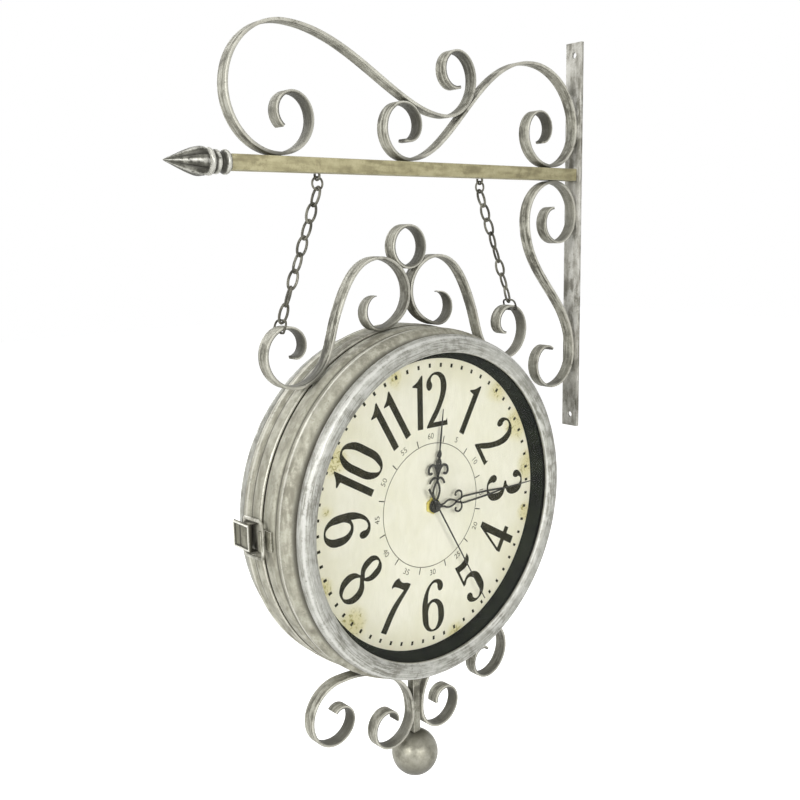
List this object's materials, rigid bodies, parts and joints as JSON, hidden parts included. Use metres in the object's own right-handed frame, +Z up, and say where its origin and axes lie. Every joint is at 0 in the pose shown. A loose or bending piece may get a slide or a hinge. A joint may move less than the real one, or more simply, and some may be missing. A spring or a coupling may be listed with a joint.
{
  "type": "double sided hanging wall clock",
  "caption": "Round two-faced clock hung by chains from a scrolled wall bracket, with a hinged front case, a wire latch and turning hands.",
  "frame": {"origin": "on the wall plate's back face, at the height of the arm's axis and on the plate's middle line", "axes": "+Z up; +X is the outward normal of the plate's back, into the wall, so the arm runs along -X; the two dials face -Y (front) and +Y (rear)"},
  "size_m": [0.3823, 0.081, 0.5819],
  "materials": {
    "aged_silver": "silver paint rubbed back over dark, worn and mottled",
    "pale_arm": "pale olive silver paint, worn",
    "dark_steel": "dark aged metal with bright edges",
    "bright_silver": "bright worn silver",
    "brass": "polished",
    "black_paint": "matt black",
    "dial_cream": "printed cream dial, yellowed towards the edge",
    "black_plastic": "matt moulded",
    "battery_grey": "plain wrapped cell",
    "glass": "clear flat glass"
  },
  "bodies": {
    "bracket": {"wall_plate": "aged_silver", "arm_tube": "pale_arm", "arm_finial": "dark_steel", "upper_scroll_outer": "aged_silver", "upper_scroll_inner": "aged_silver", "lower_scroll": "aged_silver", "chain_eye_left": "dark_steel", "chain_eye_right": "dark_steel"},
    "hanger_rings": {"hanger_ring_left": "dark_steel", "hanger_ring_right": "dark_steel"},
    "left_chain": {"chain_left": "dark_steel"},
    "right_chain": {"chain_right": "dark_steel"},
    "clock": {"chain_hook_left": "dark_steel", "chain_hook_right": "dark_steel", "crest_scroll_left": "aged_silver", "crest_scroll_right": "aged_silver", "crest_ring": "aged_silver", "bottom_scroll_left": "aged_silver", "bottom_scroll_right": "aged_silver", "bottom_rod": "aged_silver", "bottom_ball": "bright_silver", "rear_shell": "aged_silver", "rear_bezel": "bright_silver", "rear_glass": "glass", "rear_reveal": "black_paint", "rear_dial": "dial_cream", "rear_movement": "black_plastic", "rear_movement_nut": "brass", "rear_battery": "battery_grey", "hinge_leaf_rear": "dark_steel", "hinge_pin": "bright_silver", "latch_base": "dark_steel"},
    "front_case": {"front_shell": "aged_silver", "front_bezel": "bright_silver", "front_glass": "glass", "front_reveal": "black_paint", "front_dial": "dial_cream", "front_movement": "black_plastic", "front_movement_nut": "brass", "front_battery": "battery_grey", "hinge_leaf_front": "dark_steel", "latch_keeper": "dark_steel"},
    "lever": {"latch_lever": "dark_steel"},
    "loop": {"latch_loop": "bright_silver"},
    "front_minute": {"front_minute_hand": "black_paint"},
    "front_hour": {"front_hour_hand": "black_paint"},
    "front_second": {"front_second_hand": "black_paint"},
    "front_knob": {"front_set_knob": "black_plastic"},
    "rear_minute": {"rear_minute_hand": "black_paint"},
    "rear_hour": {"rear_hour_hand": "black_paint"},
    "rear_second": {"rear_second_hand": "black_paint"},
    "rear_knob": {"rear_set_knob": "black_plastic"}
  },
  "joints": [
    {"name": "fore_aft_swing", "type": "hinge", "parent": "bracket", "child": "hanger_rings", "pos_m": [-0.193, 0, -0.0075], "axis": [1, 0, 0], "range_deg": [-5, 5]},
    {"name": "side_swing", "type": "hinge", "parent": "hanger_rings", "child": "left_chain", "pos_m": [-0.2705, 0, -0.0159], "axis": [0, 1, 0], "range_deg": [-4, 4]},
    {"name": "right_chain_swing", "type": "hinge", "parent": "hanger_rings", "child": "right_chain", "pos_m": [-0.1155, 0, -0.0159], "axis": [0, 1, 0], "range_deg": [-4.1, 4.1]},
    {"name": "clock_on_hooks", "type": "hinge", "parent": "left_chain", "child": "clock", "pos_m": [-0.30299, 0, -0.10048], "axis": [0, 1, 0], "range_deg": [-3, 3]},
    {"name": "case_hinge", "type": "hinge", "parent": "clock", "child": "front_case", "pos_m": [-0.0559, 0.001, -0.246], "axis": [0, 0, 1], "range_deg": [0, 90]},
    {"name": "latch_lever_pivot", "type": "hinge", "parent": "clock", "child": "lever", "pos_m": [-0.3316, 0.008, -0.246], "axis": [0, 0, 1], "range_deg": [0, 116]},
    {"name": "latch_loop_pivot", "type": "hinge", "parent": "lever", "child": "loop", "pos_m": [-0.3316, 0.013, -0.246], "axis": [0, 0, 1], "range_deg": [-150, 0]},
    {"name": "front_minute_turn", "type": "hinge", "parent": "front_case", "child": "front_minute", "pos_m": [-0.193, -0.03, -0.246], "axis": [0, 1, 0], "continuous": true},
    {"name": "front_hour_turn", "type": "hinge", "parent": "front_case", "child": "front_hour", "pos_m": [-0.193, -0.028, -0.246], "axis": [0, 1, 0], "continuous": true},
    {"name": "front_second_turn", "type": "hinge", "parent": "front_case", "child": "front_second", "pos_m": [-0.193, -0.031, -0.246], "axis": [0, 1, 0], "continuous": true},
    {"name": "front_knob_turn", "type": "hinge", "parent": "front_case", "child": "front_knob", "pos_m": [-0.193, -0.006, -0.231], "axis": [0, 1, 0], "continuous": true},
    {"name": "rear_minute_turn", "type": "hinge", "parent": "clock", "child": "rear_minute", "pos_m": [-0.193, 0.03, -0.246], "axis": [0, -1, 0], "continuous": true},
    {"name": "rear_hour_turn", "type": "hinge", "parent": "clock", "child": "rear_hour", "pos_m": [-0.193, 0.028, -0.246], "axis": [0, -1, 0], "continuous": true},
    {"name": "rear_second_turn", "type": "hinge", "parent": "clock", "child": "rear_second", "pos_m": [-0.193, 0.031, -0.246], "axis": [0, -1, 0], "continuous": true},
    {"name": "rear_knob_turn", "type": "hinge", "parent": "clock", "child": "rear_knob", "pos_m": [-0.193, 0.006, -0.231], "axis": [0, -1, 0], "continuous": true}
  ],
  "couplings": [
    {"joint": "right_chain_swing", "follows": "side_swing", "ratio": 1},
    {"joint": "clock_on_hooks", "follows": "side_swing", "ratio": -0.7046},
    {"joint": "latch_lever_pivot", "follows": "case_hinge", "ratio": 1.28},
    {"joint": "latch_loop_pivot", "follows": "case_hinge", "ratio": -1.66},
    {"joint": "front_hour_turn", "follows": "front_minute_turn", "ratio": 0.083333},
    {"joint": "front_knob_turn", "follows": "front_minute_turn", "ratio": 1},
    {"joint": "rear_hour_turn", "follows": "rear_minute_turn", "ratio": 0.083333},
    {"joint": "rear_knob_turn", "follows": "rear_minute_turn", "ratio": 1}
  ]
}
